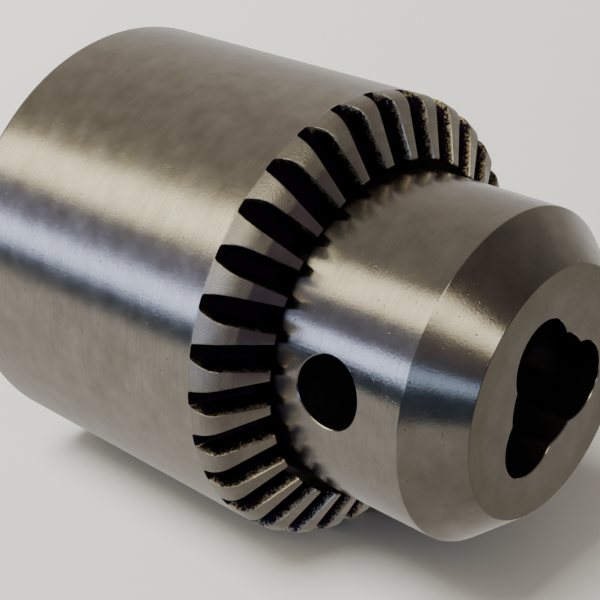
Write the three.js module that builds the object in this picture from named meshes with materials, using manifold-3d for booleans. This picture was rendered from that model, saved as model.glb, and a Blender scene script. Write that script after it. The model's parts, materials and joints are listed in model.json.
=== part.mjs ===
// A keyed drill chuck with a threaded spindle mount, lying with its axis along +X.
// The chuck key turns the toothed sleeve. The sleeve carries a split nut, and the nut's conical
// thread drives three jaws along inclined bores in the body. A ball thrust bearing takes the load.
// Units are millimetres. The origin is the centre of the body's rear face, and +X points to the nose.
import * as THREE from 'three';
import { mergeVertices } from 'three/addons/utils/BufferGeometryUtils.js';
import Module from 'manifold-3d';

const wasm = await Module();
wasm.setup();

// ---- Driving dimensions -------------------------------------------------------------------------

const sleeveRadius = 21.2;
const noseFaceX = 55.1;
const noseRadius = 15.16;
const noseFaceRadius = 11.4;
const coneStartX = 50.8;
const shankBoreRadius = 5.36;

const jawCount = 3;
const jawRadius = 3.6;
const jawBoreRadius = 3.73;
const jawTilt = THREE.MathUtils.degToRad(14);
const jawOffsetAtFace = 3.84;
const jawTravelPerTurn = 1.95;
const jawTurns = 10;
const firstJawAngle = THREE.MathUtils.degToRad(23.3);

const toothCount = 31;
const gapTipX = 33.4;
const firstGapAngle = THREE.MathUtils.degToRad(78.2);

const runningGap = 0.1;
const seatGap = 0.15;

// ---- Sizes worked out from them -----------------------------------------------------------------

const fullTurn = 2 * Math.PI;
const jawStroke = jawTravelPerTurn * jawTurns;
const threadLead = jawTravelPerTurn * Math.cos(jawTilt);
const jawSideReach = jawRadius / Math.cos(jawTilt);

const bossRadius = sleeveRadius - 2;
const hubRadius = 11.5;
const hubHeight = 1.5;
const shoulderX = 21;
const bearingSeatRadius = 16;
const nutGrooveCoreRadius = 11.6;
const nutEndGap = 0.2;

const ballRadius = 1;
const ballCount = 24;
const raceThickness = 1.3;
const raceGrooveDepth = 0.35;
const raceGrooveRadius = 1.1;
const raceInnerRadius = 16.6;
const raceOuterRadius = 19;
const ballCircleRadius = (raceInnerRadius + raceOuterRadius) / 2;

const rearRaceX = shoulderX + seatGap;
const ballX = rearRaceX + raceThickness - raceGrooveDepth + runningGap + ballRadius;
const frontRaceX = ballX + ballRadius + runningGap - raceGrooveDepth;
const nutRearX = frontRaceX + raceThickness + seatGap;
const nutFrontX = 32.7;
const nutRadius = 19;

const sleeveRearX = 2;
const sleeveBoreRadius = bossRadius + runningGap;
const sleeveFrontX = 38;
const sleeveLipRadius = 16;
const sleeveLipX = nutFrontX + nutEndGap + runningGap;

// Distance from the chuck's axis to a jaw bore's centre line, at a place along the axis.
const boreOffset = (x) => jawOffsetAtFace + (noseFaceX - x) * Math.tan(jawTilt);

// Distance from the chuck's axis to a jaw's outermost side.
const jawSide = (x) => boreOffset(x) + jawSideReach;

// Angles turn right-handed about +X and start at +Z.
const jawAngle = (index) => firstJawAngle + (index * fullTurn) / jawCount;
const keyHoleAngle = (index) => jawAngle(index) + fullTurn / (2 * jawCount);

// ---- Solids -------------------------------------------------------------------------------------

// Merges a geometry's vertices and drops the flat triangles that a lathe leaves on its axis.
function solid(geometry) {
  const bare = geometry.clone();
  for (const name of Object.keys(bare.attributes)) {
    if (name !== 'position') bare.deleteAttribute(name);
  }
  const merged = mergeVertices(bare, 1e-4);
  const corners = merged.index.array;
  const triangles = [];
  for (let i = 0; i < corners.length; i += 3) {
    const [a, b, c] = corners.slice(i, i + 3);
    if (a !== b && b !== c && c !== a) triangles.push(a, b, c);
  }
  return new wasm.Manifold(new wasm.Mesh({
    numProp: 3,
    vertProperties: new Float32Array(merged.attributes.position.array),
    triVerts: new Uint32Array(triangles),
  }));
}

function geometryOf(manifold) {
  const { vertProperties, triVerts } = manifold.getMesh();
  const geometry = new THREE.BufferGeometry();
  geometry.setAttribute('position', new THREE.BufferAttribute(vertProperties, 3));
  geometry.setIndex(new THREE.BufferAttribute(triVerts, 1));
  geometry.computeVertexNormals();
  return geometry;
}

// Cuts every tool away from a blank.
const cut = (blank, tools) => tools.reduce((rest, tool) => rest.subtract(tool), blank);

// A closed ring turned about the X axis. The profile holds [x, radius] corners, forward along the
// outside and back along the inside.
function turned(profile, segments) {
  const corners = [...profile, profile[0]].map(([x, radius]) => new THREE.Vector2(radius, x));
  return new THREE.LatheGeometry(corners, segments).rotateZ(-Math.PI / 2);
}

// [x, radius] points on an arc about a centre, for use inside a profile.
function arc(centreX, centreRadius, radius, from, to, steps) {
  return Array.from({ length: steps + 1 }, (_, step) => {
    const angle = from + ((to - from) * step) / steps;
    return [centreX + radius * Math.cos(angle), centreRadius + radius * Math.sin(angle)];
  });
}

// A rod along the X axis, between two places on it.
function rod(radius, fromX, toX, segments) {
  const geometry = new THREE.CylinderGeometry(radius, radius, toX - fromX, segments);
  return geometry.rotateZ(-Math.PI / 2).translate((fromX + toX) / 2, 0, 0);
}

// Turns a geometry that points along +Z round the chuck's axis to an angle.
const clocked = (geometry, angle) => geometry.clone().rotateX(angle);

// Copies of a geometry, each turned to the angle that angleOf gives for its number.
const copies = (geometry, count, angleOf) =>
  Array.from({ length: count }, (_, index) => solid(clocked(geometry, angleOf(index))));

// Lays a rod that runs along the X axis onto a jaw bore's centre line.
function alongJawBore(geometry) {
  return geometry.rotateY(jawTilt).translate(noseFaceX, 0, jawOffsetAtFace);
}

// A thread that follows the jaws' outer sides: a bar is extruded straight, one unit of length for
// each radian, and then wound round the chuck's axis. The section is [along the axis, outwards].
function windThread(section, fromX, toX) {
  const stepsPerTurn = 18;
  const startAngle = (fromX / threadLead) * fullTurn;
  const sweep = ((toX - fromX) / threadLead) * fullTurn;
  const shape = new THREE.Shape(section.map(([along, out]) => new THREE.Vector2(along, out)));
  const steps = Math.ceil((sweep / fullTurn) * stepsPerTurn);
  const bar = new THREE.ExtrudeGeometry(shape, { depth: sweep, steps, bevelEnabled: false });
  const place = bar.attributes.position;
  for (let i = 0; i < place.count; i += 1) {
    const angle = startAngle + place.getZ(i);
    const x = (angle / fullTurn) * threadLead + place.getX(i);
    const radius = jawSide(x) + place.getY(i);
    place.setXYZ(i, x, -radius * Math.sin(angle), radius * Math.cos(angle));
  }
  return bar;
}

// A trapezoid that narrows inwards. Its sides pass the jaw's surface at halfWidth.
function threadSection({ halfWidth, inner, outer }) {
  const flank = 0.24;
  const widthAt = (out) => halfWidth + flank * out;
  return [
    [-widthAt(inner), inner],
    [widthAt(inner), inner],
    [widthAt(outer), outer],
    [-widthAt(outer), outer],
  ];
}

// ---- Chuck body ---------------------------------------------------------------------------------

function chuckBody() {
  const socketRadius = 4.24;
  const socketDepth = 15;
  const socketChamfer = 0.6;
  const screwHoleRadius = 2.6;
  const shankBoreDepth = 36;
  const shankBoreTaper = 1.5;
  const boreChamfer = 0.3;
  const bossChamfer = 0.6;
  const hubDraft = 0.6;
  const segments = 54;
  const boreSegments = 32;
  const shankBoreEndX = noseFaceX - shankBoreDepth;
  const profile = [
    [0, socketRadius + socketChamfer],
    [0, hubRadius],
    [hubHeight, hubRadius + hubDraft],
    [hubHeight, bossRadius - bossChamfer],
    [hubHeight + bossChamfer, bossRadius],
    [shoulderX, bossRadius],
    [shoulderX, bearingSeatRadius],
    [nutRearX - seatGap, bearingSeatRadius],
    [nutRearX - seatGap, nutGrooveCoreRadius],
    [nutFrontX + nutEndGap, nutGrooveCoreRadius],
    [nutFrontX + nutEndGap, noseRadius],
    [coneStartX, noseRadius],
    [noseFaceX, noseFaceRadius],
    [noseFaceX, shankBoreRadius + boreChamfer],
    [noseFaceX - boreChamfer, shankBoreRadius],
    [shankBoreEndX, shankBoreRadius],
    [shankBoreEndX - shankBoreTaper, screwHoleRadius],
    [socketDepth, screwHoleRadius],
    [socketDepth, socketRadius],
    [socketChamfer, socketRadius],
  ];
  const pastEnds = 8;
  const jawBore = alongJawBore(rod(jawBoreRadius, -noseFaceX - pastEnds, pastEnds, boreSegments));
  return cut(solid(turned(profile, segments)), [
    ...copies(jawBore, jawCount, jawAngle),
    ...copies(keyHole(), jawCount, keyHoleAngle),
  ]);
}

// A pilot hole for the chuck key, drilled in from +Z, with a drill point at its bottom.
function keyHole() {
  const holeX = 43.3;
  const holeRadius = 3.22;
  const floorRadius = 7.8;
  const pointDepth = 0.9;
  const pastNose = noseRadius + 2;
  const segments = 28;
  const outline = [
    [0, floorRadius - pointDepth],
    [holeRadius, floorRadius],
    [holeRadius, pastNose],
    [0, pastNose],
  ];
  const drill = new THREE.LatheGeometry(outline.map((point) => new THREE.Vector2(...point)), segments);
  return drill.rotateX(Math.PI / 2).translate(holeX, 0, 0);
}

// ---- Toothed sleeve -----------------------------------------------------------------------------

function toothedSleeve() {
  const rearChamfer = 0.8;
  const boreChamfer = 0.4;
  const shoulder = 1.9;
  const crestX = gapTipX + 0.9;
  const crestSlope = 0.42;
  const profile = [
    [sleeveRearX, sleeveBoreRadius + boreChamfer],
    [sleeveRearX, sleeveRadius - rearChamfer],
    [sleeveRearX + rearChamfer, sleeveRadius],
    ...arc(crestX, sleeveRadius - shoulder, shoulder, Math.PI / 2, crestSlope, 3),
    [sleeveFrontX, sleeveLipRadius],
    [sleeveLipX, sleeveLipRadius],
    [sleeveLipX, sleeveBoreRadius],
    [sleeveRearX + boreChamfer, sleeveBoreRadius],
  ];
  const gapAngle = (index) => firstGapAngle - (index * fullTurn) / toothCount;
  return cut(solid(turned(profile, 2 * toothCount)), copies(toothGap(), toothCount, gapAngle));
}

// The space between two teeth: a flat-bottomed slot that runs in towards the axis and forwards. It
// has rounded bottom corners and flanks that open outwards.
function toothGap() {
  const floorHalfWidth = 0.4;
  const cornerRadius = 0.35;
  const flankAngle = THREE.MathUtils.degToRad(16);
  const height = 5;
  const overrun = 1.2;
  const floorRise = 2.44;
  const floorRun = sleeveRadius - sleeveLipRadius;
  const floorTilt = Math.atan2(floorRise, floorRun);
  const topHalfWidth =
    floorHalfWidth + cornerRadius / Math.cos(flankAngle) + (height - cornerRadius) * Math.tan(flankAngle);
  const down = -Math.PI / 2;
  const outline = new THREE.Shape();
  outline.moveTo(topHalfWidth, height);
  outline.lineTo(-topHalfWidth, height);
  outline.absarc(-floorHalfWidth, cornerRadius, cornerRadius, Math.PI - flankAngle, down + fullTurn, false);
  outline.absarc(floorHalfWidth, cornerRadius, cornerRadius, down, flankAngle, false);
  outline.closePath();
  const depth = Math.hypot(floorRise, floorRun) + 2 * overrun;
  const slot = new THREE.ExtrudeGeometry(outline, { depth, bevelEnabled: false, curveSegments: 2 });
  // The outline's width goes across the chuck, its height forwards and the slot's length outwards.
  slot.translate(0, 0, overrun - depth);
  slot.rotateZ(-Math.PI / 2).rotateY(-floorTilt);
  return slot.translate(gapTipX, 0, sleeveRadius);
}

// ---- Split nut ----------------------------------------------------------------------------------

function splitNut() {
  const rootClearance = 0.25;
  const chamfer = 0.5;
  const ridgeEnd = 0.7;
  const segments = 42;
  const profile = [
    [nutRearX, jawSide(nutRearX) + rootClearance],
    [nutRearX, nutRadius - chamfer],
    [nutRearX + chamfer, nutRadius],
    [nutFrontX - chamfer, nutRadius],
    [nutFrontX, nutRadius - chamfer],
    [nutFrontX, jawSide(nutFrontX) + rootClearance],
  ];
  const ridgeSection = threadSection({ halfWidth: 0.5, inner: -1, outer: 0.6 });
  const ring = solid(turned(profile, segments));
  const ridge = solid(windThread(ridgeSection, nutRearX + ridgeEnd, nutFrontX - ridgeEnd));
  return ring.add(ridge);
}

// One half of the nut, on the +1 or -1 side of the saw cut that splits it.
function nutHalf(nut, side) {
  const kerf = 0.4;
  const size = 50;
  const halfSpace = new THREE.BoxGeometry(size, size, size);
  halfSpace.translate(nutRearX, 0, (side * (size + kerf)) / 2);
  return nut.intersect(solid(clocked(halfSpace, firstJawAngle)));
}

// ---- Jaws ---------------------------------------------------------------------------------------

// The jaw that points along +Z, closed on the chuck's axis and without its thread.
function closedJaw() {
  const tipX = noseFaceX + 9;
  const rearX = 27.9;
  const rearChamfer = 0.8;
  const meetingGap = 0.2;
  const apexLand = 0.45;
  const tipBevelX = tipX - 2.6;
  const tipBevelRadius = 3.6;
  const nearAxis = 0.01;
  const reach = 16;
  const segments = 24;
  const shank = alongJawBore(jawShank(rearX, tipX, rearChamfer));
  // Its two gripping faces meet those of the other jaws, 60 degrees either side of the jaw's middle.
  const spread = Math.tan(Math.PI / jawCount);
  const wedgeOutline = new THREE.Shape([
    new THREE.Vector2(-(apexLand - meetingGap) * spread, apexLand),
    new THREE.Vector2((apexLand - meetingGap) * spread, apexLand),
    new THREE.Vector2((reach - meetingGap) * spread, reach),
    new THREE.Vector2(-(reach - meetingGap) * spread, reach),
  ]);
  const wedge = new THREE.ExtrudeGeometry(wedgeOutline, { depth: tipX, bevelEnabled: false });
  wedge.rotateY(Math.PI / 2).rotateX(Math.PI / 2);
  const envelope = turned([
    [0, nearAxis],
    [0, reach * 2],
    [tipBevelX, reach * 2],
    [tipBevelX, jawSide(tipBevelX)],
    [tipX, tipBevelRadius],
    [tipX, nearAxis],
  ], segments);
  return solid(shank).intersect(solid(wedge)).intersect(solid(envelope));
}

// A chamfered rod, measured along the jaw bore from the nose face.
function jawShank(rearX, tipX, chamfer) {
  const rear = (rearX - noseFaceX) / Math.cos(jawTilt);
  const front = (tipX - noseFaceX) / Math.cos(jawTilt) + jawRadius;
  const segments = 14;
  const outline = [
    [0, rear],
    [jawRadius - chamfer, rear],
    [jawRadius, rear + chamfer],
    [jawRadius, front],
    [0, front],
  ];
  const shank = new THREE.LatheGeometry(outline.map((point) => new THREE.Vector2(...point)), segments);
  return shank.rotateZ(-Math.PI / 2);
}

// A jaw drawn back by its whole stroke, with its thread cut and turned to its place.
function openJaw(index) {
  const back = [-jawStroke * Math.cos(jawTilt), 0, jawStroke * Math.sin(jawTilt)];
  const drawnBack = solid(geometryOf(closedJaw()).translate(...back));
  return clocked(geometryOf(cut(drawnBack, jawGrooves(index))), jawAngle(index));
}

// The grooves of one jaw's thread, each a straight bar across the jaw's outer side. Each jaw's are
// shifted along it, because the nut's thread comes round to it a third of a turn after the last.
function jawGrooves(index) {
  const rearX = 7;
  const frontX = nutFrontX + 3;
  const width = 3 * jawRadius;
  const section = threadSection({ halfWidth: 0.68, inner: -1.6, outer: 1.2 });
  const shape = new THREE.Shape(section.map(([along, out]) => new THREE.Vector2(along, out)));
  const bar = new THREE.ExtrudeGeometry(shape, { depth: width, bevelEnabled: false });
  bar.rotateX(Math.PI / 2).translate(0, width / 2, 0);
  const turnsAt = (x) => x / threadLead - jawAngle(index) / fullTurn;
  const grooves = [];
  for (let turn = Math.ceil(turnsAt(rearX)); turn < turnsAt(frontX); turn += 1) {
    const x = (turn + jawAngle(index) / fullTurn) * threadLead;
    grooves.push(solid(bar.clone().translate(x, 0, jawSide(x))));
  }
  return grooves;
}

// ---- Thrust bearing -----------------------------------------------------------------------------

// A washer whose ball groove faces +X, with its back at x = 0.
function thrustRace() {
  const grooveSteps = 2;
  const segments = 40;
  const grooveCentre = raceThickness - raceGrooveDepth + raceGrooveRadius;
  const halfOpening = Math.acos((raceGrooveRadius - raceGrooveDepth) / raceGrooveRadius);
  const down = Math.PI;
  const profile = [
    [0, raceInnerRadius],
    [0, raceOuterRadius],
    [raceThickness, raceOuterRadius],
    ...arc(
      grooveCentre, ballCircleRadius, raceGrooveRadius, down - halfOpening, down + halfOpening, grooveSteps,
    ),
    [raceThickness, raceInnerRadius],
  ];
  return turned(profile, segments);
}

const rearRace = () => thrustRace().translate(rearRaceX, 0, 0);

const frontRace = () => thrustRace().rotateZ(Math.PI).translate(frontRaceX + raceThickness, 0, 0);

const ballAngle = (index) => (index * fullTurn) / ballCount;

function ballCage() {
  const thickness = 1;
  const sideMargin = 0.2;
  const pocketRadius = ballRadius + runningGap;
  const segments = 48;
  const pocketSegments = 8;
  const cageRing = turned([
    [ballX - thickness / 2, ballCircleRadius - pocketRadius - sideMargin],
    [ballX - thickness / 2, ballCircleRadius + pocketRadius + sideMargin],
    [ballX + thickness / 2, ballCircleRadius + pocketRadius + sideMargin],
    [ballX + thickness / 2, ballCircleRadius - pocketRadius - sideMargin],
  ], segments);
  const pocket = rod(pocketRadius, ballX - thickness, ballX + thickness, pocketSegments);
  pocket.translate(0, 0, ballCircleRadius);
  return cut(solid(cageRing), copies(pocket, ballCount, ballAngle));
}

function thrustBall(index) {
  const [widthSegments, heightSegments] = [8, 5];
  const ball = new THREE.SphereGeometry(ballRadius, widthSegments, heightSegments);
  return clocked(ball.translate(ballX, 0, ballCircleRadius), ballAngle(index));
}

// ---- Materials ----------------------------------------------------------------------------------

const steel = (color, roughness) => new THREE.MeshStandardMaterial({ color, roughness, metalness: 1 });

const turnedSteel = steel(0x8f8a82, 0.32);
const hardenedSteel = steel(0x5d5a57, 0.4);
const groundSteel = steel(0xb9b9bb, 0.18);
const cageBrass = steel(0xa98a4e, 0.38);

// ---- Assembly -----------------------------------------------------------------------------------

const chuck = new THREE.Group();

function addPiece(name, shape, material) {
  const geometry = shape.isBufferGeometry ? shape : geometryOf(shape);
  const piece = new THREE.Mesh(geometry, material);
  piece.name = name;
  chuck.add(piece);
}

addPiece('chuck_body', chuckBody(), turnedSteel);
addPiece('toothed_sleeve', toothedSleeve(), turnedSteel);

const nut = splitNut();
addPiece('nut_half_a', nutHalf(nut, 1), hardenedSteel);
addPiece('nut_half_b', nutHalf(nut, -1), hardenedSteel);

for (let index = 0; index < jawCount; index += 1) {
  addPiece(`jaw_${index + 1}`, openJaw(index), hardenedSteel);
}

addPiece('rear_race', rearRace(), groundSteel);
addPiece('front_race', frontRace(), groundSteel);
addPiece('ball_cage', ballCage(), cageBrass);
for (let index = 0; index < ballCount; index += 1) {
  const number = String(index + 1).padStart(2, '0');
  addPiece(`thrust_ball_${number}`, thrustBall(index), groundSteel);
}

export default chuck;
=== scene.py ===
"""A keyed drill chuck lying on a pale floor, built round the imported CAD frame.

Shapes are worked out in millimetres. +X runs from the spindle to the nose, and an angle about the
chuck's axis is right-handed about +X and starts at +Z.
"""
import json
import math

import bmesh
import bpy
from mathutils import Matrix, Vector


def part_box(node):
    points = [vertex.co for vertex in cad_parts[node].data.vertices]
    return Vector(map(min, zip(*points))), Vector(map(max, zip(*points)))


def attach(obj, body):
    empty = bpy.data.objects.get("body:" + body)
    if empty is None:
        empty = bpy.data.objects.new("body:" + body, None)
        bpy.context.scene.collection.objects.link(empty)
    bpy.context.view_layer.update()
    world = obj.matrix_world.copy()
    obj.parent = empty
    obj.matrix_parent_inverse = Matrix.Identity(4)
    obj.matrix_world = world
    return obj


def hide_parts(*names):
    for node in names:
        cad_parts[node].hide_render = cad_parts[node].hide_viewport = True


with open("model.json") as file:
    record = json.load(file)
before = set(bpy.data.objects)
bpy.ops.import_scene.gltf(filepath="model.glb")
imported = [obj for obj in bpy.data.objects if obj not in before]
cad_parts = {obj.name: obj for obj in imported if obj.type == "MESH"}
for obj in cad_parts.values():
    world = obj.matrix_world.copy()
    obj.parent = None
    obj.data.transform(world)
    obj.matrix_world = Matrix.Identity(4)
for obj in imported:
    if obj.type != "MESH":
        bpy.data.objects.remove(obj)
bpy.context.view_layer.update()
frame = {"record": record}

# ---- Sizes --------------------------------------------------------------------------------------

MM = 0.001
FULL_TURN = 2 * math.pi


def span(node, axis):
    """A CAD node's lowest and highest place along one axis, in millimetres."""
    low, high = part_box(node)
    return low[axis] / MM, high[axis] / MM


SLEEVE_REAR, SLEEVE_FRONT = span("toothed_sleeve", 0)
SLEEVE_RADIUS = span("toothed_sleeve", 2)[1]
NOSE_FACE = span("chuck_body", 0)[1]
BOSS_RADIUS = span("chuck_body", 2)[1]
NUT_REAR, NUT_FRONT = span("nut_half_a", 0)
REAR_RACE = span("rear_race", 0)
FRONT_RACE = span("front_race", 0)
RACE_RADIUS = span("rear_race", 2)[1]
CAGE = span("ball_cage", 0)

NOSE_RADIUS = 15.16
NOSE_FACE_RADIUS = 11.4
CONE_START = NOSE_FACE - 4.3
SHANK_BORE_RADIUS = 5.36
SOCKET_DEPTH = 15

JAW_COUNT = 3
JAW_RADIUS = 3.6
JAW_BORE_RADIUS = 3.73
JAW_TILT = math.radians(14)
JAW_OFFSET_AT_FACE = 3.84
JAW_STROKE = frame["record"]["behaviour"]["joints"][2]["range_m"][1] / MM
JAW_TURNS = 10
THREAD_LEAD = JAW_STROKE / JAW_TURNS * math.cos(JAW_TILT)
FIRST_JAW_ANGLE = math.radians(23.3)

TOOTH_COUNT = 31
GAP_TIP = 33.4
FIRST_GAP_ANGLE = math.radians(78.2)
LIP_RADIUS = 16
FROST_RADIUS = 19.1
CREST_TILT = math.radians(24.1)

BALL_RADIUS = 1
BALL_COUNT = 24
BALL_CIRCLE = 17.8
BALL_X = sum(CAGE) / 2


def jaw_angle(index):
    """Angle of a jaw about the chuck's axis."""
    return FIRST_JAW_ANGLE + index * FULL_TURN / JAW_COUNT


def key_hole_angle(index):
    """Angle of a pilot hole for the key, halfway between two jaws."""
    return jaw_angle(index) + FULL_TURN / (2 * JAW_COUNT)


def bore_offset(x):
    """Distance from the chuck's axis to a jaw bore's centre line."""
    return JAW_OFFSET_AT_FACE + (NOSE_FACE - x) * math.tan(JAW_TILT)


def jaw_side(x):
    """Distance from the chuck's axis to a jaw's outermost side."""
    return bore_offset(x) + JAW_RADIUS / math.cos(JAW_TILT)


# ---- Mesh tools ---------------------------------------------------------------------------------

def around(x, radius, angle):
    """A point at a place along the chuck's axis, a distance from it and an angle round it."""
    return Vector((x, -radius * math.sin(angle), radius * math.cos(angle)))


def add_object(name, mesh, *materials):
    """Puts a mesh in the scene, with a material slot for each material."""
    piece = bpy.data.objects.new(name, mesh)
    bpy.context.scene.collection.objects.link(piece)
    for material in materials:
        mesh.materials.append(material)
    return piece


def grid_mesh(name, rings, close_ends=False):
    """A closed surface through rings of points in millimetres, each joined to the next. close_ends
    puts a flat cap on the first and the last ring; without it the last is joined to the first.
    """
    count = len(rings[0])
    points = [point * MM for ring in rings for point in ring]
    faces = []
    joins = len(rings) - 1 if close_ends else len(rings)
    for i in range(joins):
        here, there = i * count, (i + 1) % len(rings) * count
        for j in range(count):
            k = (j + 1) % count
            faces.append((here + j, here + k, there + k, there + j))
    if close_ends:
        first = list(range(count))
        faces.append(first[::-1])
        faces.append([(len(rings) - 1) * count + j for j in first])
    mesh = bpy.data.meshes.new(name)
    mesh.from_pydata(points, [], faces)
    return mesh


def tidy_mesh(mesh, sharp_angle=math.radians(38), merge=0.004 * MM):
    """Merges doubled points, turns every face outwards and marks edges that stay sharp."""
    work = bmesh.new()
    work.from_mesh(mesh)
    bmesh.ops.remove_doubles(work, verts=work.verts, dist=merge)
    bmesh.ops.dissolve_degenerate(work, edges=work.edges, dist=merge)
    bmesh.ops.recalc_face_normals(work, faces=work.faces)
    for face in work.faces:
        face.smooth = True
    for edge in work.edges:
        edge.smooth = len(edge.link_faces) == 2 and edge.calc_face_angle() < sharp_angle
    work.to_mesh(mesh)
    work.free()
    return mesh


def rounded(corners, steps=4):
    """The (x, radius) points of a closed outline, from corners given as (x, radius, fillet). A fillet
    is an arc that touches both of its corner's sides.
    """
    outline = []
    for i, (x, radius, fillet) in enumerate(corners):
        corner = Vector((x, radius))
        before = Vector(corners[i - 1][:2]) - corner
        after = Vector(corners[(i + 1) % len(corners)][:2]) - corner
        if not fillet:
            outline.append((x, radius))
            continue
        half = before.angle(after) / 2
        reach = fillet / math.tan(half)
        middle = (before.normalized() + after.normalized()).normalized()
        centre = corner + middle * (fillet / math.sin(half))
        start = corner + before.normalized() * reach - centre
        end = corner + after.normalized() * reach - centre
        for step in range(steps + 1):
            point = centre + start.normalized().slerp(end.normalized(), step / steps) * fillet
            outline.append((point.x, point.y))
    return outline


def turned_rings(outline, segments):
    """A ring of points about the X axis for each (x, radius) point of an outline."""
    turns = [j * FULL_TURN / segments for j in range(segments)]
    return [[around(x, radius, turn) for turn in turns] for x, radius in outline]


def plug_mesh(name, outline, segments, place=Matrix()):
    """A solid turned about the X axis from (x, radius) points between its two end caps, and then
    moved by place, a matrix in millimetres.
    """
    rings = [[place @ point for point in ring] for ring in turned_rings(outline, segments)]
    return grid_mesh(name, rings, close_ends=True)


def combine(piece, tools, operation="DIFFERENCE"):
    """Cuts each tool away from a piece, or keeps only what it shares with it, and drops the tools."""
    for tool in tools:
        face_outwards(tool.data)
        modifier = piece.modifiers.new("cut", "BOOLEAN")
        modifier.operation = operation
        modifier.solver = "MANIFOLD"
        modifier.object = tool
    bake_modifiers(piece)
    for tool in tools:
        bpy.data.objects.remove(tool)


def face_outwards(mesh):
    """Turns every face of a closed mesh outwards."""
    work = bmesh.new()
    work.from_mesh(mesh)
    bmesh.ops.recalc_face_normals(work, faces=work.faces)
    work.to_mesh(mesh)
    work.free()


def bake_modifiers(piece):
    """Replaces a piece's mesh with what its modifiers make of it."""
    evaluated = piece.evaluated_get(bpy.context.evaluated_depsgraph_get())
    mesh = bpy.data.meshes.new_from_object(evaluated)
    piece.modifiers.clear()
    piece.data = mesh


def soften_edges(piece, width, angle=math.radians(38)):
    """Rounds every edge that is sharper than the angle."""
    bevel = piece.modifiers.new("soft_edges", "BEVEL")
    bevel.width = width * MM
    bevel.segments = 2
    bevel.limit_method = "ANGLE"
    bevel.angle_limit = angle
    bake_modifiers(piece)


def even_shading(piece):
    """Lets the large faces decide how the small ones beside them are shaded."""
    weighted = piece.modifiers.new("even_shading", "WEIGHTED_NORMAL")
    weighted.keep_sharp = True
    weighted.weight = 100


# ---- Materials ----------------------------------------------------------------------------------

def shader_tree(name):
    """A new material, with its nodes and its shader."""
    material = bpy.data.materials.new(name)
    material.use_nodes = True
    tree = material.node_tree
    return material, tree, tree.nodes["Principled BSDF"]


def add_node(tree, kind, *inputs, **settings):
    """A new node with its inputs set, or linked where a socket is given. None leaves one as it is."""
    new = tree.nodes.new(kind)
    for key, value in settings.items():
        setattr(new, key, value)
    for socket, value in zip(new.inputs, inputs):
        if isinstance(value, bpy.types.NodeSocket):
            tree.links.new(value, socket)
        elif value is not None:
            socket.default_value = value
    return new


def maths(tree, operation, *inputs):
    """One step of arithmetic on sockets and numbers."""
    return add_node(tree, "ShaderNodeMath", *inputs, operation=operation).outputs[0]


def noise(tree, vector, scale, detail=3.0):
    """Cloudy noise from 0 to 1, with scale lumps to a millimetre."""
    texture = add_node(tree, "ShaderNodeTexNoise", vector)
    texture.inputs["Scale"].default_value = scale
    texture.inputs["Detail"].default_value = detail
    return texture.outputs["Fac"]


def remap(tree, value, low, high, to_low=0.0, to_high=1.0):
    """A value between low and high, moved to the same place between to_low and to_high."""
    return add_node(tree, "ShaderNodeMapRange", value, low, high, to_low, to_high).outputs[0]


def blend_colors(tree, factor, first, second):
    """The first colour where the factor is 0 and the second where it is 1."""
    mix = add_node(tree, "ShaderNodeMix", data_type="RGBA")
    tree.links.new(factor, mix.inputs["Factor"])
    for name, value in (("A", first), ("B", second)):
        socket = next(s for s in mix.inputs if s.name == name and s.type == "RGBA")
        if isinstance(value, bpy.types.NodeSocket):
            tree.links.new(value, socket)
        else:
            socket.default_value = (*value, 1)
    return next(s for s in mix.outputs if s.type == "RGBA")


def millimetres(tree):
    """Object coordinates in millimetres."""
    place = tree.nodes.new("ShaderNodeTexCoord").outputs["Object"]
    enlarged = add_node(tree, "ShaderNodeVectorMath", place, operation="SCALE")
    enlarged.inputs["Scale"].default_value = 1 / MM
    return enlarged.outputs[0]


def cylindrical(tree, place):
    """The place along the chuck's axis and the distance from it."""
    x, y, z = add_node(tree, "ShaderNodeSeparateXYZ", place).outputs
    square = maths(tree, "ADD", maths(tree, "POWER", y, 2.0), maths(tree, "POWER", z, 2.0))
    return x, maths(tree, "SQRT", square)


def lathe_lines(tree, place, lines_per_mm, drift):
    """Noise drawn out round the chuck's axis into the fine marks that a lathe tool leaves."""
    x, radius = cylindrical(tree, place)
    along = maths(tree, "MULTIPLY", maths(tree, "ADD", x, radius), lines_per_mm)
    _, y, z = add_node(tree, "ShaderNodeSeparateXYZ", place).outputs
    across = (maths(tree, "MULTIPLY", side, drift) for side in (y, z))
    vector = add_node(tree, "ShaderNodeCombineXYZ", along, *across)
    return noise(tree, vector.outputs[0], 1.0, 4.0)


def scaled(color, factor):
    """A colour made lighter or darker."""
    return tuple(part * factor for part in color)


def bump(tree, height, strength, depth, normal=None):
    """Surface relief from a height, on top of an earlier normal if one is given."""
    node = add_node(tree, "ShaderNodeBump")
    node.inputs["Strength"].default_value = strength
    node.inputs["Distance"].default_value = depth * MM
    tree.links.new(height, node.inputs["Height"])
    if normal:
        tree.links.new(normal, node.inputs["Normal"])
    return node.outputs[0]


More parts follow.
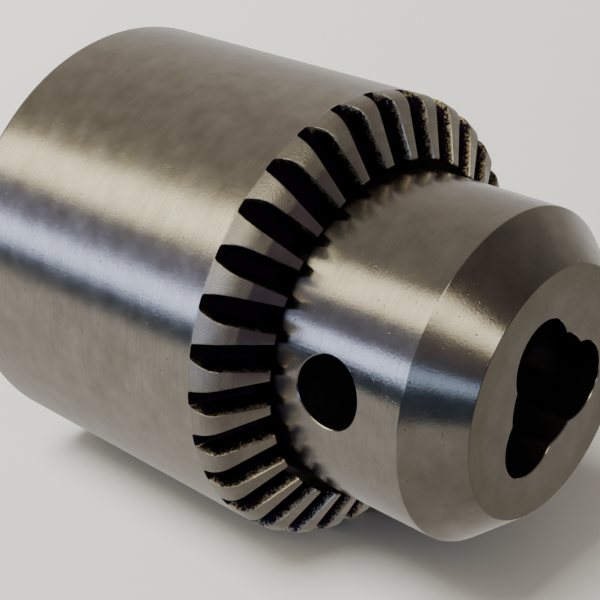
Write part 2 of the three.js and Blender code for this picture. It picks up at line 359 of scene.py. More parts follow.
def turned_steel(name, light, dark, roughness, painted_shade_end=None, frosting=None, face=None):
    """Satin steel from a lathe: fine lines round the axis, mottled colour, specks and small pits.
    From the nut to the end given for painted shade, along the axis, shade is painted near-black on it
    where the sleeve's toothed front shades the nose. Past the place frosting it is frosted, as far in as
    FROST_RADIUS. At face, its rim is darker than the middle.
    """
    lines_per_mm, broad_lines_per_mm = 7.0, 7.0 / 6
    material, tree, shader = shader_tree(name)
    place = millimetres(tree)
    x, radius = cylindrical(tree, place)
    fine = lathe_lines(tree, place, lines_per_mm, 0.25)
    broad = lathe_lines(tree, place, broad_lines_per_mm, 0.08)
    mottle = noise(tree, place, 0.5, 8.0)
    specks = noise(tree, place, 4.5, 3.0)
    pits = remap(tree, noise(tree, place, 2.4, 2.0), 0.70, 0.76)

    color = blend_colors(tree, remap(tree, mottle, 0.25, 0.75), dark, light)
    color = blend_colors(tree, remap(tree, fine, 0.3, 0.7, 0.0, 0.22), color, scaled(dark, 0.55))
    color = blend_colors(tree, maths(tree, "MULTIPLY", pits, 0.6), color, scaled(dark, 0.35))
    # Painted shade: near-black on the nose up to the sleeve's front, where the teeth shade it.
    if painted_shade_end:
        painted_shade_color = (0.01, 0.008, 0.012)
        ragged = maths(tree, "ADD", x, maths(tree, "MULTIPLY", mottle, 0.5))
        unshaded_front = remap(tree, ragged, painted_shade_end - 0.25, painted_shade_end + 0.35)
        unshaded_rear = remap(tree, x, NUT_REAR, NUT_REAR - 1)
        color = blend_colors(tree, maths(tree, "ADD", unshaded_front, unshaded_rear), painted_shade_color, color)
    if face:
        rim_color = tuple(part * tint for part, tint in zip(dark, (0.75, 0.85, 0.72)))
        on_face = remap(tree, x, face - 0.1, face)
        rim = maths(tree, "MULTIPLY", on_face, remap(tree, radius, 8.6, 9.8, 0, 0.4))
        color = blend_colors(tree, rim, color, rim_color)
    tree.links.new(color, shader.inputs["Base Color"])

    shade = maths(tree, "ADD", maths(tree, "MULTIPLY", fine, 0.10), maths(tree, "MULTIPLY", specks, 0.10))
    shade = maths(tree, "ADD", shade, maths(tree, "MULTIPLY", mottle, 0.08))
    normal = bump(tree, specks, 0.3, 0.016)
    if frosting:
        outer = remap(tree, radius, FROST_RADIUS - 0.2, FROST_RADIUS + 0.2)
        frosted = maths(tree, "MULTIPLY", remap(tree, x, frosting, frosting + 0.4), outer)
        frost = maths(tree, "MULTIPLY", noise(tree, place, 8.0, 4.0), frosted)
        normal = bump(tree, frost, 0.9, 0.08, normal)
        shade = maths(tree, "ADD", shade, maths(tree, "MULTIPLY", frosted, 0.12))
    average_shade = 0.14
    tree.links.new(maths(tree, "ADD", shade, roughness - average_shade), shader.inputs["Roughness"])
    normal = bump(tree, fine, 0.35, 0.006, normal)
    normal = bump(tree, broad, 0.3, 0.012, normal)
    normal = bump(tree, maths(tree, "SUBTRACT", 1.0, pits), 0.35, 0.02, normal)
    tree.links.new(normal, shader.inputs["Normal"])

    tangent = add_node(tree, "ShaderNodeTangent", direction_type="RADIAL", axis="X")
    tree.links.new(tangent.outputs[0], shader.inputs["Tangent"])
    shader.inputs["Metallic"].default_value = 1
    shader.inputs["Anisotropic"].default_value = 0.6
    shader.inputs["Anisotropic Rotation"].default_value = 0.25
    return material


def milled_steel(name, color, fleck, roughness):
    """The floors and rough flanks that a milling cutter leaves, painted near-black as shade in the tooth
    gaps. The flanks, which face round the axis and not along it, are torn. Their light flecks are torn
    grain with painted highlights near the crests of the teeth, and they fade deeper down as painted shade.
    """
    material, tree, shader = shader_tree(name)
    place = millimetres(tree)
    grain = noise(tree, place, 5.0, 6.0)
    torn = noise(tree, place, 1.6, 5.0)
    facing = tree.nodes.new("ShaderNodeTexCoord").outputs["Normal"]
    along = add_node(tree, "ShaderNodeSeparateXYZ", facing).outputs[0]
    flank = remap(tree, maths(tree, "ABSOLUTE", along), 0.75, 0.45)
    x, radius = cylindrical(tree, place)
    forward = maths(tree, "MULTIPLY", maths(tree, "SUBTRACT", x, SLEEVE_FRONT), math.cos(CREST_TILT))
    outward = maths(tree, "MULTIPLY", maths(tree, "SUBTRACT", radius, LIP_RADIUS), math.sin(CREST_TILT))
    above_side = maths(tree, "SUBTRACT", radius, SLEEVE_RADIUS)
    above_crest = maths(tree, "MAXIMUM", maths(tree, "ADD", forward, outward), above_side)
    # Painted light and shade by depth: the flecks are lighter near the crests and fade deeper in the gaps.
    painted_depth_shade = remap(tree, above_crest, -1.05, -0.15, -0.25, 0.06)
    ragged = maths(tree, "ADD", maths(tree, "MULTIPLY", grain, 0.7), maths(tree, "MULTIPLY", torn, 0.3))
    ragged = maths(tree, "ADD", ragged, painted_depth_shade)
    grain_and_glints = maths(tree, "MULTIPLY", remap(tree, ragged, 0.42, 0.68), flank)
    tree.links.new(blend_colors(tree, grain_and_glints, color, fleck), shader.inputs["Base Color"])
    uneven = remap(tree, torn, 0.3, 0.7, roughness - 0.12, roughness + 0.15)
    tree.links.new(uneven, shader.inputs["Roughness"])
    normal = bump(tree, torn, 0.7, 0.08)
    normal = bump(tree, grain, 0.9, 0.05, normal)
    tree.links.new(normal, shader.inputs["Normal"])
    shader.inputs["Metallic"].default_value = 1
    return material


def oiled_steel(name, color, roughness, grain_scale=3.0):
    """Hardened inner parts: dark, with a thin uneven film of oil. The dark that the bores get is
    painted shade.
    """
    material, tree, shader = shader_tree(name)
    place = millimetres(tree)
    film = noise(tree, place, 0.7, 5.0)
    grain = noise(tree, place, grain_scale, 4.0)
    mixed = blend_colors(tree, remap(tree, film, 0.3, 0.7), scaled(color, 0.7), color)
    uneven = remap(tree, grain, 0.3, 0.7, roughness - 0.08, roughness + 0.1)
    tree.links.new(mixed, shader.inputs["Base Color"])
    tree.links.new(uneven, shader.inputs["Roughness"])
    tree.links.new(bump(tree, grain, 0.35, 0.012), shader.inputs["Normal"])
    shader.inputs["Metallic"].default_value = 1
    shader.inputs["Coat Weight"].default_value = 0.3
    shader.inputs["Coat Roughness"].default_value = 0.12
    return material


def paper(name, near, far):
    """Matt paper with painted light: it is paler towards the far end, behind the chuck's spindle."""
    material, tree, shader = shader_tree(name)
    place = millimetres(tree)
    x, _ = cylindrical(tree, place)
    cloud = maths(tree, "MULTIPLY", noise(tree, place, 0.02, 4.0), 0.1)
    # Painted light: the paper grows paler towards the far end, with a random cloudy tone on top.
    painted_light = maths(tree, "ADD", remap(tree, x, 30, -150), cloud)
    tree.links.new(blend_colors(tree, painted_light, near, far), shader.inputs["Base Color"])
    tree.links.new(bump(tree, noise(tree, place, 2.0, 4.0), 0.15, 0.05), shader.inputs["Normal"])
    shader.inputs["Roughness"].default_value = 0.75
    return material


# ---- Chuck body ---------------------------------------------------------------------------------

def nose_surface(across):
    """Height of the nose's round side above the axis, at a distance to one side."""
    return math.sqrt(NOSE_RADIUS**2 - across**2)


def key_hole_tool(index):
    """A drill with a small chamfer that follows the round side of the nose all the way round."""
    hole_x, radius, floor, chamfer, overshoot = 43.3, 3.22, 7.8, 0.09, 2.0
    point_radius, point_height, segments = 0.15, 0.9, 72
    turn = Matrix.Rotation(key_hole_angle(index), 4, "X")

    def ring(size, height=None, rise=0.0):
        """Points round the hole at one height, or else at a rise above the nose's side."""
        points = []
        for j in range(segments):
            angle = j * FULL_TURN / segments
            along, across = size * math.cos(angle), size * math.sin(angle)
            top = nose_surface(across) + rise if height is None else height
            points.append(turn @ Vector((hole_x + along, across, top)))
        return points

    rings = [
        ring(point_radius, height=floor - point_height),
        ring(radius, height=floor),
        ring(radius, rise=-chamfer),
        ring(radius + chamfer),
        ring(radius + chamfer + overshoot, rise=overshoot),
    ]
    return add_object(f"key_hole_tool_{index}", grid_mesh("key_hole_tool", rings, close_ends=True))


def jaw_bore_tool(index):
    """An inclined drill, in slices across the chuck's axis, that flares at the nose's flat face."""
    chamfer, segments, behind_body = 0.08, 96, -4
    slices = (
        (behind_body, 0),
        (NOSE_FACE - chamfer, 0),
        (NOSE_FACE, chamfer),
        (NOSE_FACE + 1, chamfer + 1),
    )
    turn = Matrix.Rotation(jaw_angle(index), 4, "X")
    rings = []
    for x, grow in slices:
        wide = JAW_BORE_RADIUS + grow
        tall = JAW_BORE_RADIUS / math.cos(JAW_TILT) + grow
        ring = []
        for j in range(segments):
            angle = j * FULL_TURN / segments
            ring.append(turn @ Vector((x, wide * math.sin(angle), bore_offset(x) + tall * math.cos(angle))))
        rings.append(ring)
    return add_object(f"jaw_bore_tool_{index}", grid_mesh("jaw_bore_tool", rings, close_ends=True))


def shank_bore_tool():
    """A stepped drill: the shank's bore, and the screw hole that joins it to the spindle's socket."""
    chamfer, depth, drill_point, screw_radius = 0.1, 36, 1.5, 2.6
    outline = (
        (SOCKET_DEPTH - 1, screw_radius),
        (NOSE_FACE - depth - drill_point, screw_radius),
        (NOSE_FACE - depth, SHANK_BORE_RADIUS),
        (NOSE_FACE - chamfer, SHANK_BORE_RADIUS),
        (NOSE_FACE + 1, SHANK_BORE_RADIUS + chamfer + 1),
    )
    return add_object("shank_bore_tool", plug_mesh("shank_bore_tool", outline, 128))


def socket_tool():
    """A tap: a plug whose radius follows a right-handed 60 degree thread."""
    minor, major, pitch, chamfer = 4.24, 4.76, 25.4 / 24, 0.7
    rows_per_pitch, segments = 8, 64
    flat_share, slope = 0.15, 1.3
    step = pitch / rows_per_pitch
    rings = []
    for row in range(-1, int(SOCKET_DEPTH / step) + 1):
        x = row * step
        ring = []
        for j in range(segments):
            angle = j * FULL_TURN / segments
            phase = (x / pitch - angle / FULL_TURN) % 1
            groove = 1 - abs(2 * phase - 1)
            radius = minor + (major - minor) * min(1, max(0, groove * slope - flat_share))
            ring.append(around(x, max(radius, major + chamfer - max(x, -step)), angle))
        rings.append(ring)
    return add_object("socket_tool", grid_mesh("socket_tool", rings, close_ends=True))


def make_body(steel, dark):
    """The turned body with its bores, in steel outside and with painted shade, a dark steel, inside."""
    hub_radius, hub_height, hub_draft, boss_chamfer = 11.5, 1.5, 0.6, 0.6
    shoulder, seat_radius, core_radius = 21, 16, 11.6
    groove_rear, groove_front = NUT_REAR - 0.15, NUT_FRONT + 0.2
    edge, near_axis = 0.18, 0.02
    outline = rounded([
        (0, near_axis, 0),
        (0, hub_radius, 0.4),
        (hub_height, hub_radius + hub_draft, 0.3),
        (hub_height, BOSS_RADIUS - boss_chamfer, edge),
        (hub_height + boss_chamfer, BOSS_RADIUS, edge),
        (shoulder, BOSS_RADIUS, edge),
        (shoulder, seat_radius, edge),
        (groove_rear, seat_radius, edge),
        (groove_rear, core_radius, edge),
        (groove_front, core_radius, edge),
        (groove_front, NOSE_RADIUS, edge),
        (CONE_START, NOSE_RADIUS, 0.2),
        (NOSE_FACE, NOSE_FACE_RADIUS, 0.15),
        (NOSE_FACE, near_axis, 0),
    ])
    body = add_object("body", plug_mesh("body", outline, 256), steel, dark)
    face_outwards(body.data)
    tools = [socket_tool(), shank_bore_tool()]
    tools += [jaw_bore_tool(i) for i in range(JAW_COUNT)]
    tools += [key_hole_tool(i) for i in range(JAW_COUNT)]
    combine(body, tools)
    tidy_mesh(body.data)
    # Painted shade: the walls of the bores and holes get the dark second material.
    paint_bore_shade(body.data)
    even_shading(body)
    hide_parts("chuck_body")
    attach(body, "chuck")


def paint_bore_shade(mesh):
    """Gives the walls of the bores and holes the second material, whose dark colour is painted shade."""
    side_margin, cone_margin, face_margin, rim_margin, hub_end = 0.3, 0.2, 0.35, 0.5, 3
    leaning, facing = 0.3, 0.5
    for face in mesh.polygons:
        x, y, z = face.center / MM
        radius = math.hypot(y, z)
        outward = Vector((0, y, z)).normalized().dot(face.normal)
        past_nut, at_side = x > NUT_FRONT + side_margin, radius > NOSE_RADIUS - side_margin
        past_side, off_bores = x > CONE_START - cone_margin, radius > NOSE_FACE_RADIUS - rim_margin
        on_nose_side = past_nut and at_side and outward > facing
        on_cone = past_side and off_bores and outward > leaning
        on_face = x > NOSE_FACE - face_margin and face.normal.x > leaning
        on_rear = x < hub_end and (face.normal.x < -facing or outward > facing)
        face.material_index = 0 if on_nose_side or on_cone or on_face or on_rear else 1


# ---- Toothed sleeve -----------------------------------------------------------------------------

FLOOR_SLOPE = 2.44 / (SLEEVE_RADIUS - LIP_RADIUS)
GAP_FLOOR = 0.4
GAP_CORNER = 0.35
GAP_FLANK = math.radians(16)
GAP_FOOT = GAP_FLOOR + GAP_CORNER * math.cos(GAP_FLANK)


def gap_height(across):
    """Height of a tooth gap's wall above its flat floor, at a distance to one side of its middle."""
    across = abs(across)
    if across <= GAP_FLOOR:
        return 0
    if across <= GAP_FOOT:
        return GAP_CORNER - math.sqrt(GAP_CORNER**2 - (across - GAP_FLOOR)**2)
    return GAP_CORNER * (1 - math.sin(GAP_FLANK)) + (across - GAP_FOOT) / math.tan(GAP_FLANK)


def gap_x(radius, offset_angle):
    """Place along the axis of a tooth gap's surface, at an angle away from the gap's middle."""
    out = radius * math.cos(offset_angle)
    floor = GAP_TIP + (SLEEVE_RADIUS - out) * FLOOR_SLOPE
    tilt = math.atan(FLOOR_SLOPE)
    return floor + gap_height(radius * math.sin(offset_angle)) / math.cos(tilt)


def soft_min(a, b, reach):
    """The smaller of two values, rounded off where they are nearly the same."""
    near = max(reach - abs(a - b), 0) / reach
    return min(a, b) - near * near * reach / 4


def pitch_offsets(radius):
    """Angles across one tooth pitch, measured from the middle of its gap, closer on the walls."""
    floor = [0, GAP_FLOOR / 2, GAP_FLOOR]
    corner = [GAP_FLOOR + GAP_CORNER * math.sin(math.radians(a)) for a in (15, 30, 45, 58)]
    wall_step, wall_steps = 0.045, 12
    walls = [GAP_FOOT + wall_step * i for i in range(wall_steps)]
    half = [math.asin(across / radius) for across in floor + corner + walls]
    half_pitch = math.pi / TOOTH_COUNT
    land = [half[-1] + (half_pitch - half[-1]) * share for share in (0.35, 0.7)]
    right = half + land
    return [-a for a in right[:0:-1]] + right


def even_steps(start, end, count):
    """(x, radius) points that lead evenly from just after one point to another."""
    return [
        tuple(a + (b - a) * i / count for a, b in zip(start, end))
        for i in range(1, count + 1)
    ]


def arc_rows(centre, radius, start_angle, end_angle, count):
    """(x, radius) points along an arc about a centre."""
    rows = []
    for i in range(count + 1):
        angle = start_angle + (end_angle - start_angle) * i / count
        rows.append((centre[0] + radius * math.cos(angle), centre[1] + radius * math.sin(angle)))
    return rows


def crest_rows():
    """(x, radius) of the sleeve's outside over the teeth, before the gaps are cut."""
    shoulder, step, lip_edge = 1.9, 0.105, 0.14
    arc_centre = (GAP_TIP + 0.9, SLEEVE_RADIUS - shoulder)
    rows = [(GAP_TIP - 0.15 + step * i, SLEEVE_RADIUS) for i in range(10)]
    rows += arc_rows(arc_centre, shoulder, math.pi / 2, CREST_TILT, 8)
    rows += even_steps(rows[-1], (SLEEVE_FRONT - 0.06, LIP_RADIUS + 0.12), 12)
    rows.append((SLEEVE_FRONT - lip_edge, LIP_RADIUS))
    return rows


def sleeve_rows():
    """(x, radius, toothed) of the sleeve's whole outline, from its rear edge over the teeth and back
    through its bore.
    """
    lip_x, bore_radius = NUT_FRONT + 0.3, BOSS_RADIUS + 0.1
    mouth_edge, lip_edge, rear_round = 0.25, 0.1, 0.8
    round_centre = (SLEEVE_REAR + rear_round, SLEEVE_RADIUS - rear_round)
    side_start, side_end = (SLEEVE_REAR + rear_round, SLEEVE_RADIUS), (GAP_TIP - 0.4, SLEEVE_RADIUS)
    outer = [(SLEEVE_REAR + mouth_edge, bore_radius), (SLEEVE_REAR, bore_radius + mouth_edge)]
    outer += arc_rows(round_centre, rear_round, math.pi, math.pi / 2, 6)
    outer += even_steps(side_start, side_end, 8)
    inner = [
        (lip_x + lip_edge, LIP_RADIUS),
        (lip_x, LIP_RADIUS + lip_edge),
        (lip_x, bore_radius - lip_edge),
        (lip_x - lip_edge, bore_radius),
    ]
    rows = [(x, radius, False) for x, radius in outer]
    rows += [(x, radius, True) for x, radius in crest_rows()]
    rows += [(x, radius, False) for x, radius in inner]
    return rows


def make_sleeve(steel, milled):
    """The sleeve, with milled gaps between its teeth."""
    edge_round, cut_depth = 0.14, 0.03
    rings, cut_rings = [], []
    for x, radius, toothed in sleeve_rows():
        ring, cut = [], []
        for tooth in range(TOOTH_COUNT):
            middle = FIRST_GAP_ANGLE + tooth * FULL_TURN / TOOTH_COUNT
            for offset in pitch_offsets(radius):
                wall = gap_x(radius, offset)
                place = soft_min(x, wall, edge_round) if toothed else x
                ring.append(around(place, radius, middle + offset))
                cut.append(toothed and wall < x - cut_depth)
        rings.append(ring)
        cut_rings.append(cut)
    mesh = grid_mesh("sleeve", rings)
    count = len(rings[0])
    # The cut faces get the second material, which paints shade into the tooth gaps.
    for face in mesh.polygons:
        flags = [cut_rings[v // count][v % count] for v in face.vertices]
        face.material_index = 1 if sum(flags) >= 3 else 0
    tidy_mesh(mesh, math.radians(50))
    sleeve = add_object("sleeve", mesh, steel, milled)
    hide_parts("toothed_sleeve")
    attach(sleeve, "sleeve")


# ---- Jaws ---------------------------------------------------------------------------------------

def jaw_placement():
    """Lays a rod along the X axis onto a jaw bore's centre line, with its zero at the nose face."""
    return Matrix.Translation((NOSE_FACE, 0, JAW_OFFSET_AT_FACE)) @ Matrix.Rotation(JAW_TILT, 4, "Y")


def jaw_wedge(tip_x):
    """The third of the space round the axis that one closed jaw may fill."""
    gap, land, reach = 0.2, 0.45, 16
    spread = math.tan(math.pi / JAW_COUNT)
    low, high = (land - gap) * spread, (reach - gap) * spread
    corners = ((-low, land), (low, land), (high, reach), (-high, reach))
    rings = [[Vector((x, y, z)) for y, z in corners] for x in (0, tip_x)]
    return add_object("jaw_wedge", grid_mesh("jaw_wedge", rings, close_ends=True))


def jaw_envelope(tip_x):
    """What the closed jaws may fill: everything behind their tips, which are bevelled."""
    beyond_jaws, near_axis, bevel_x = 32, 0.02, tip_x - 2.6
    outline = (
        (0, near_axis),
        (0, beyond_jaws),
        (bevel_x - 0.01, beyond_jaws),
        (bevel_x, jaw_side(bevel_x)),
        (tip_x, JAW_RADIUS),
        (tip_x, near_axis),
    )
    return add_object("jaw_envelope", plug_mesh("jaw_envelope", outline, 128))


def jaw_groove(x):
    """A straight bar across the jaw's outer side that leaves one groove of its thread."""
    half_length, inner, outer, half, flank = 6, -1.45, 0.9, 0.56, 0.3
    narrow, wide = half + flank * inner, half + flank * outer
    section = ((-narrow, inner), (narrow, inner), (wide, outer), (-wide, outer))
    side = jaw_side(x)
    rings = [
        [Vector((x + along, across, side + out)) for along, out in section]
        for across in (-half_length, half_length)
    ]
    return add_object("jaw_groove", grid_mesh("jaw_groove", rings, close_ends=True))


def make_jaw(index, steel):
    """A jaw is shaped where it is when the chuck is closed, drawn back, and then grooved where it
    lies at rest.
    """
    tip_x, rear_x = NOSE_FACE + 9, 27.9
    groove_rear, groove_front = 7, NUT_FRONT + 3
    rear = (rear_x - NOSE_FACE) / math.cos(JAW_TILT)
    front = (tip_x - NOSE_FACE) / math.cos(JAW_TILT) + JAW_RADIUS
    outline = (
        (rear, JAW_RADIUS - 0.8),
        (rear + 0.25, JAW_RADIUS - 0.35),
        (rear + 0.8, JAW_RADIUS),
        (front, JAW_RADIUS),
    )
    jaw = add_object(f"jaw_{index + 1}_ground", plug_mesh("jaw", outline, 72, jaw_placement()), steel)
    face_outwards(jaw.data)
    combine(jaw, [jaw_wedge(tip_x), jaw_envelope(tip_x)], "INTERSECT")
    soften_edges(jaw, 0.16)
    back = Vector((-math.cos(JAW_TILT), 0, math.sin(JAW_TILT))) * JAW_STROKE
    jaw.data.transform(Matrix.Translation(back * MM))
    turns = jaw_angle(index) / FULL_TURN
    first = math.ceil(groove_rear / THREAD_LEAD - turns)
    last = math.floor(groove_front / THREAD_LEAD - turns)
    combine(jaw, [jaw_groove((number + turns) * THREAD_LEAD) for number in range(first, last + 1)])
    jaw.data.transform(Matrix.Rotation(jaw_angle(index), 4, "X"))
    tidy_mesh(jaw.data)
    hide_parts(f"jaw_{index + 1}")
    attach(jaw, f"jaw_{index + 1}")


# ---- Split nut and thrust bearing ---------------------------------------------------------------

def nut_inside(x, angle):
    """Distance from the axis of the nut's threaded inside: a cone with a ridge wound round it."""
    clearance, ridge_height, ridge_half_width, ridge_flank, run_out = 0.25, 1.2, 0.62, 0.3, 0.5
    phase = abs((x / THREAD_LEAD - angle / FULL_TURN + 0.5) % 1 - 0.5) * THREAD_LEAD
    ridge = min(1, max(0, (ridge_half_width - phase) / ridge_flank))
    fade = min(1, (x - NUT_REAR) / run_out, (NUT_FRONT - x) / run_out)
    return jaw_side(x) + clearance - ridge_height * ridge * fade


def make_nut_half(letter, side, steel):
    """Half a ring with the jaws' thread on its conical inside, cut off on both sides of a saw kerf."""
    outer_radius, chamfer, kerf = 19.0, 0.5, 0.4
    columns, rows_inside = 120, 56
    start = FIRST_JAW_ANGLE - side * math.pi / 2
    outside = (
        (NUT_REAR, outer_radius - chamfer),
        (NUT_REAR + chamfer, outer_radius),
        (NUT_FRONT - chamfer, outer_radius),
        (NUT_FRONT, outer_radius - chamfer),
    )
    rings = []
    for j in range(columns + 1):
        turn = math.pi * j / columns
        outline = []
        for i in range(rows_inside + 1):
            x = NUT_FRONT + (NUT_REAR - NUT_FRONT) * i / rows_inside
            outline.append((x, nut_inside(x, start + turn)))
        ring = []
        for x, radius in (*outline, *outside):
            trim = math.asin(kerf / 2 / radius)
            ring.append(around(x, radius, start + trim + turn * (1 - 2 * trim / math.pi)))
        rings.append(ring)
    mesh = tidy_mesh(grid_mesh("nut_half", rings, close_ends=True))
    half = add_object(f"nut_{letter}_threaded", mesh, steel)
    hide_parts(f"nut_half_{letter}")
    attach(half, "sleeve")


def make_race(name, node, body, back_x, forwards, steel):
    """A hardened washer with a ball groove. forwards is 1 if its groove faces the nose, else -1."""
    inner, groove_radius, groove_depth, thickness, fillet = 16.6, 1.1, 0.35, 1.3, 0.15
    opening = math.acos((groove_radius - groove_depth) / groove_radius)
    groove_centre = (thickness - groove_depth + groove_radius, BALL_CIRCLE)
    groove = arc_rows(groove_centre, groove_radius, math.pi - opening, math.pi + opening, 8)
    corners = [(0, inner, fillet), (0, RACE_RADIUS, fillet), (thickness, RACE_RADIUS, fillet)]
    corners += [(x, radius, 0) for x, radius in groove]
    corners.append((thickness, inner, fillet))
    outline = [(back_x + forwards * x, radius) for x, radius in rounded(corners)]
    washer = add_object(name, tidy_mesh(grid_mesh(name, turned_rings(outline, 160))), steel)
    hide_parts(node)
    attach(washer, body)


def make_cage(brass):
    """A flat ring with a round pocket for each ball."""
    pocket_radius, margin, fillet = BALL_RADIUS + 0.1, 0.2, 0.08
    low, high = BALL_CIRCLE - pocket_radius - margin, BALL_CIRCLE + pocket_radius + margin
    rear, front = CAGE
    corners = [(rear, low, fillet), (rear, high, fillet), (front, high, fillet), (front, low, fillet)]
    cage = add_object("cage_pressed", grid_mesh("cage", turned_rings(rounded(corners, 2), 192)), brass)
    face_outwards(cage.data)
    pockets = []
    for i in range(BALL_COUNT):
        turn = Matrix.Rotation(i * FULL_TURN / BALL_COUNT, 4, "X")
        place = turn @ Matrix.Translation((0, 0, BALL_CIRCLE))
        outline = ((rear - 1, pocket_radius), (front + 1, pocket_radius))
        pockets.append(add_object("pocket", plug_mesh("pocket", outline, 32, place)))
    combine(cage, pockets)
    tidy_mesh(cage.data)
    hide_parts("ball_cage")
    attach(cage, "ball_ring")


def make_balls(steel):
    """Each ball is a cube that is divided finely and drawn out to a sphere, so it has no poles."""
    for i in range(BALL_COUNT):
        work = bmesh.new()
        bmesh.ops.create_cube(work, size=2)
        bmesh.ops.subdivide_edges(work, edges=work.edges, cuts=9, use_grid_fill=True)
        centre = around(BALL_X, BALL_CIRCLE, i * FULL_TURN / BALL_COUNT) * MM
        for vertex in work.verts:
            vertex.co = centre + vertex.co.normalized() * BALL_RADIUS * MM
        mesh = bpy.data.meshes.new("ball")
        work.to_mesh(mesh)
        work.free()
        ball = add_object(f"ball_{i + 1:02d}_polished", tidy_mesh(mesh), steel)
        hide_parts(f"thrust_ball_{i + 1:02d}")
        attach(ball, "ball_ring")


# ---- Studio -------------------------------------------------------------------------------------

STUDIO_RADIUS = 1.3


def make_floor(material):
    """A round of paper under the chuck, which the steel doesn't reflect."""
    level, segments = -SLEEVE_RADIUS * MM, 128
    turns = [i * FULL_TURN / segments for i in range(segments)]
    corners = [(STUDIO_RADIUS * math.cos(a), STUDIO_RADIUS * math.sin(a), level) for a in turns]
    mesh = bpy.data.meshes.new("floor")
    mesh.from_pydata(corners, [], [tuple(range(segments))])
    floor = add_object("floor", mesh, material)
    floor.visible_glossy = False


def make_backdrop(material):
    """A dome that hides the room's bright bands from the camera and from nothing else."""
    work = bmesh.new()
    bmesh.ops.create_icosphere(work, subdivisions=5, radius=STUDIO_RADIUS)
    for face in work.faces:
        face.smooth = True
    mesh = bpy.data.meshes.new("backdrop")
    work.to_mesh(mesh)
    work.free()
    backdrop = add_object("backdrop", mesh, material)
    backdrop.visible_glossy = False
    backdrop.visible_diffuse = False
    backdrop.visible_transmission = False
    backdrop.visible_shadow = False


def make_world():
    """A long room for the steel to reflect. It is brighter behind the chuck than in front of it, and
    ends in a dark wall that the nose points to. Round the chuck's axis, from straight down and up the
    near side, come the paper floor, a dark skirting, a narrow cool strip, a dark wall, a broad warm
    window, a dim ceiling and the pale far side.
    """
    world = bpy.data.worlds.new("studio")
    bpy.context.scene.world = world
    world.use_nodes = True
    tree = world.node_tree
    direction = tree.nodes.new("ShaderNodeTexCoord").outputs["Generated"]
    x, y, z = add_node(tree, "ShaderNodeSeparateXYZ", direction).outputs
    nearness, depth = maths(tree, "MULTIPLY", y, -1.0), maths(tree, "MULTIPLY", z, -1.0)
    angle = maths(tree, "ARCTAN2", nearness, depth)
    turn = maths(tree, "FRACT", maths(tree, "DIVIDE", angle, FULL_TURN))
    skew = remap(tree, x, -0.72, -0.54, -0.008, 0.009)
    turn = maths(tree, "SUBTRACT", turn, skew)
    color = blend_colors(tree, remap(tree, x, -0.45, 0.45), rear_room(tree, turn), front_room(tree, turn))
    color = blend_colors(tree, remap(tree, x, 0.78, 0.96), color, (0.08, 0.06, 0.09))
    tree.links.new(color, tree.nodes["Background"].inputs["Color"])


WINDOW = (3.5, 3.25, 2.3)
SKIRTING = (0.05, 0.07, 0.1)


def rear_room(tree, turn):
    """The part of the room behind the chuck's spindle."""
    wall, strip = (0.26, 0.26, 0.34), (2.4, 2.8, 4.2)
    return ramp(tree, turn, (
        (0, (0.62, 0.59, 0.54)),
        (74, (0.66, 0.63, 0.58)),
        (78, SKIRTING),
        (90, SKIRTING),
        (93.5, strip),
        (102, strip),
        (106, wall),
        (125, wall),
        (132, WINDOW),
        (146, WINDOW),
        (153, (0.34, 0.31, 0.26)),
        (180, (0.36, 0.33, 0.28)),
        (208, (0.43, 0.38, 0.33)),
        (238, (0.56, 0.52, 0.46)),
        (258, (0.58, 0.56, 0.52)),
        (276, (0.85, 0.82, 0.78)),
        (315, (0.60, 0.57, 0.52)),
        (360, (0.62, 0.59, 0.54)),
    ))


def front_room(tree, turn):
    """The darker part of the room in front of the chuck's nose."""
    strip = (0.75, 0.98, 1.45)
    return ramp(tree, turn, (
        (0, (0.32, 0.29, 0.25)),
        (58, (0.48, 0.45, 0.40)),
        (64, SKIRTING),
        (86, SKIRTING),
        (91, strip),
        (98, strip),
        (103, (0.12, 0.12, 0.16)),
        (130, (0.24, 0.21, 0.18)),
        (144, WINDOW),
        (152, WINDOW),
        (162, (0.14, 0.11, 0.10)),
        (200, (0.12, 0.10, 0.09)),
        (237, (0.17, 0.16, 0.14)),
        (262, (0.33, 0.31, 0.27)),
        (272, (0.40, 0.37, 0.33)),
        (315, (0.32, 0.29, 0.25)),
        (360, (0.32, 0.29, 0.25)),
    ))


def ramp(tree, turn, stops):
    """Colours at angles in degrees, from the fraction of a turn that a socket gives."""
    node = add_node(tree, "ShaderNodeValToRGB", turn)
    elements = node.color_ramp.elements
    for _ in stops[2:]:
        elements.new(0.5)
    for element, (angle, color) in zip(elements, stops):
        element.position = angle / 360
        element.color = (*color, 1)
    return node.outputs["Color"]


def make_lamp(name, place, size, energy, color, aim):
    """A soft panel that lights the floor without showing in the steel."""
    light = bpy.data.lights.new(name, "AREA")
    light.shape = "DISK"
    light.size = size
    light.energy = energy
    light.color = color
    lamp = bpy.data.objects.new(name, light)
    lamp.location = place
    lamp.rotation_euler = (Vector(aim) - Vector(place)).to_track_quat("-Z", "Y").to_euler()
    lamp.visible_glossy = False
    bpy.context.scene.collection.objects.link(lamp)


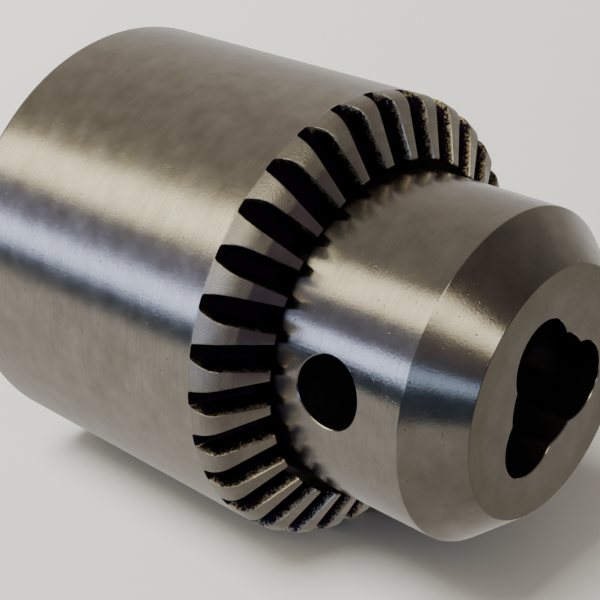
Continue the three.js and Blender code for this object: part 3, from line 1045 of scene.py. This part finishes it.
def make_camera():
    """Looks at the nose from the near side, a little from above."""
    azimuth, elevation, distance, lens = math.radians(42.7), math.radians(26.15), 0.1325, 85.4
    aim = Vector((29.28, -2.98, 1.22)) * MM
    data = bpy.data.cameras.new("camera")
    data.lens = lens
    camera = bpy.data.objects.new("camera", data)
    away = Vector((
        math.sin(azimuth) * math.cos(elevation),
        -math.cos(azimuth) * math.cos(elevation),
        math.sin(elevation),
    ))
    camera.location = aim + away * distance
    camera.rotation_euler = (-away).to_track_quat("-Z", "Y").to_euler()
    bpy.context.scene.collection.objects.link(camera)
    bpy.context.scene.camera = camera


# ---- Putting it together ------------------------------------------------------------------------

sleeve_steel = turned_steel(
    "sleeve_steel", (0.47, 0.445, 0.395), (0.34, 0.31, 0.27), 0.22, frosting=GAP_TIP - 0.1
)
# The body's steel gets painted shade on the nose beside the sleeve's toothed front.
body_steel = turned_steel(
    "body_steel", (0.39, 0.37, 0.335), (0.295, 0.275, 0.245), 0.17,
    painted_shade_end=SLEEVE_FRONT - 0.1, face=NOSE_FACE,
)
# Painted shade: near-black tooth gaps, with painted highlights on flank flecks near the crests.
shaded_gap_steel = milled_steel("shaded_gap_steel", (0.015, 0.007, 0.019), (0.62, 0.54, 0.38), 0.40)
# Painted shade: dark steel for the unlit walls of the bores and holes.
shaded_bore_steel = oiled_steel("shaded_bore_steel", (0.09, 0.07, 0.08), 0.4)
jaw_steel = oiled_steel("jaw_steel", (0.36, 0.34, 0.32), 0.27)
nut_steel = oiled_steel("nut_steel", (0.22, 0.20, 0.19), 0.4)
race_steel = oiled_steel("race_steel", (0.60, 0.60, 0.61), 0.16, 6.0)
ball_steel = oiled_steel("ball_steel", (0.72, 0.72, 0.74), 0.12, 8.0)
cage_brass = oiled_steel("cage_brass", (0.66, 0.50, 0.24), 0.32)

make_camera()
make_body(body_steel, shaded_bore_steel)
make_sleeve(sleeve_steel, shaded_gap_steel)
for number in range(JAW_COUNT):
    make_jaw(number, jaw_steel)
make_nut_half("a", 1, nut_steel)
make_nut_half("b", -1, nut_steel)
make_race("rear_washer", "rear_race", "chuck", REAR_RACE[0], 1, race_steel)
make_race("front_washer", "front_race", "sleeve", FRONT_RACE[1], -1, race_steel)
make_cage(cage_brass)
make_balls(ball_steel)

# The far colour is paler: painted light towards the far end of the floor and the backdrop.
white_paper = paper("white_paper", (0.615, 0.61, 0.605), (0.90, 0.885, 0.875))
make_floor(white_paper)
make_backdrop(white_paper)
make_world()
make_lamp("key", (-0.1, -0.4, 0.8), 0.42, 15.0, (1.0, 0.97, 0.92), (0.03, 0, 0))
